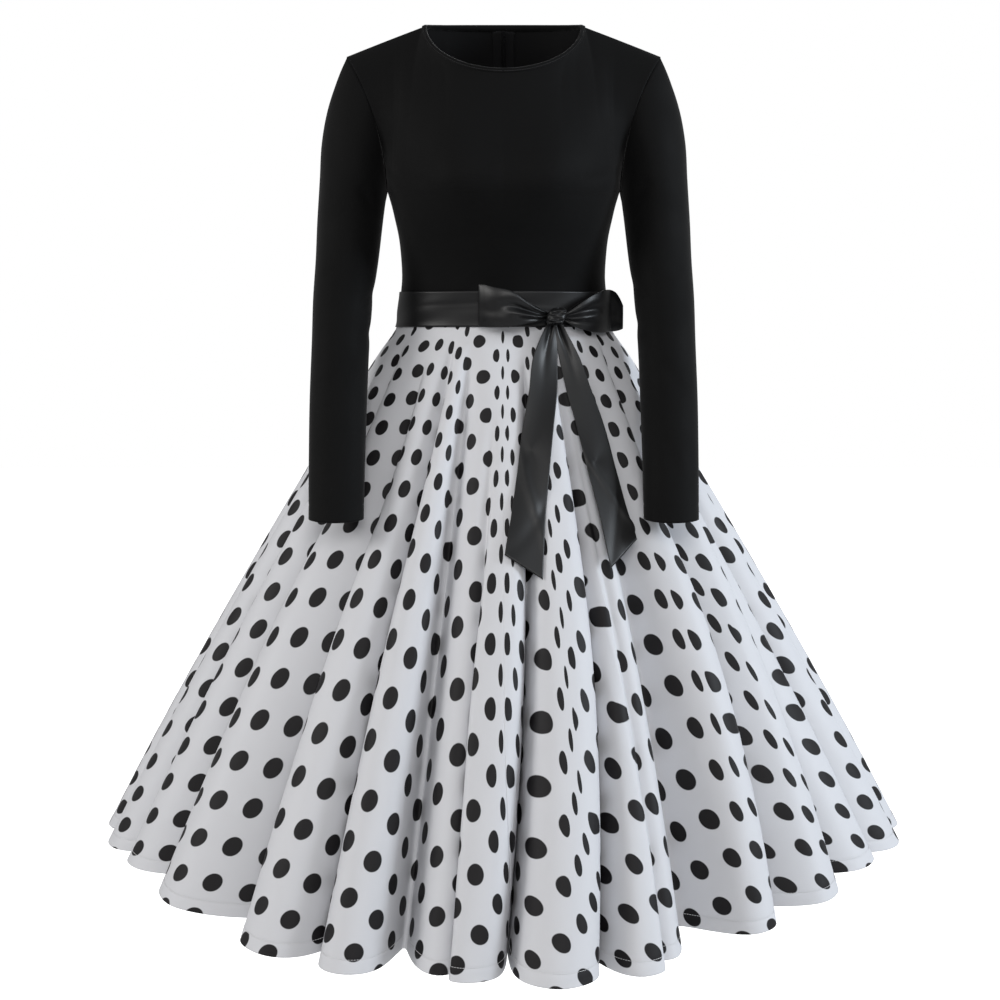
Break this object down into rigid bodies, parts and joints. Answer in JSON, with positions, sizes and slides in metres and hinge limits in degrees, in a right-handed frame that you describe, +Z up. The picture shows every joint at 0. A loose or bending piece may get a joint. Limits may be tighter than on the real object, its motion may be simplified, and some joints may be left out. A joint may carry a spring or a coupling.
{
  "type": "long-sleeved fit-and-flare dress",
  "caption": "Knee-length swing dress in worn form: black knit bodice with long sleeves and a round neck, full dotted circle skirt, satin ribbon belt with a side bow, and a back zip.",
  "frame": {"origin": "midway between the two shoulder tips, where the wearer's shoulders hold the dress", "axes": "+Z up, the dress faces -Y, +X is the wearer's left"},
  "size_m": [1.0035, 0.8593, 1.0597],
  "materials": {
    "black_knit": "matte smooth stretch knit",
    "dotted_skirt_cloth": "smooth woven white cloth printed with near-black dots on a diagonal lattice",
    "satin_ribbon": "glossy satin",
    "zip_tape": "ribbed woven tape with a nylon coil",
    "zip_metal": "bright plated metal"
  },
  "bodies": {
    "dress": {"bodice_front": "black_knit", "bodice_back_left": "black_knit", "bodice_back_right": "black_knit", "neck_binding": "black_knit", "sleeve_left": "black_knit", "sleeve_right": "black_knit", "skirt_front_left": "dotted_skirt_cloth", "skirt_back_left": "dotted_skirt_cloth", "skirt_back_right": "dotted_skirt_cloth", "skirt_front_right": "dotted_skirt_cloth", "belt_ribbon": "satin_ribbon", "bow_loop_left": "satin_ribbon", "bow_loop_right": "satin_ribbon", "bow_knot": "satin_ribbon", "bow_tail_right": "satin_ribbon", "bow_tail_left": "satin_ribbon", "zip_teeth": "zip_tape", "zip_tape_left": "zip_tape", "zip_tape_right": "zip_tape", "zip_slider": "zip_metal"},
    "zip_pull": {"zip_pull_tab": "zip_metal"}
  },
  "joints": [
    {"name": "zip_pull_swing", "type": "hinge", "parent": "dress", "child": "zip_pull", "pos_m": [0, 0.06825, 0.02425], "axis": [1, 0, 0], "range_deg": [0, 160]}
  ]
}
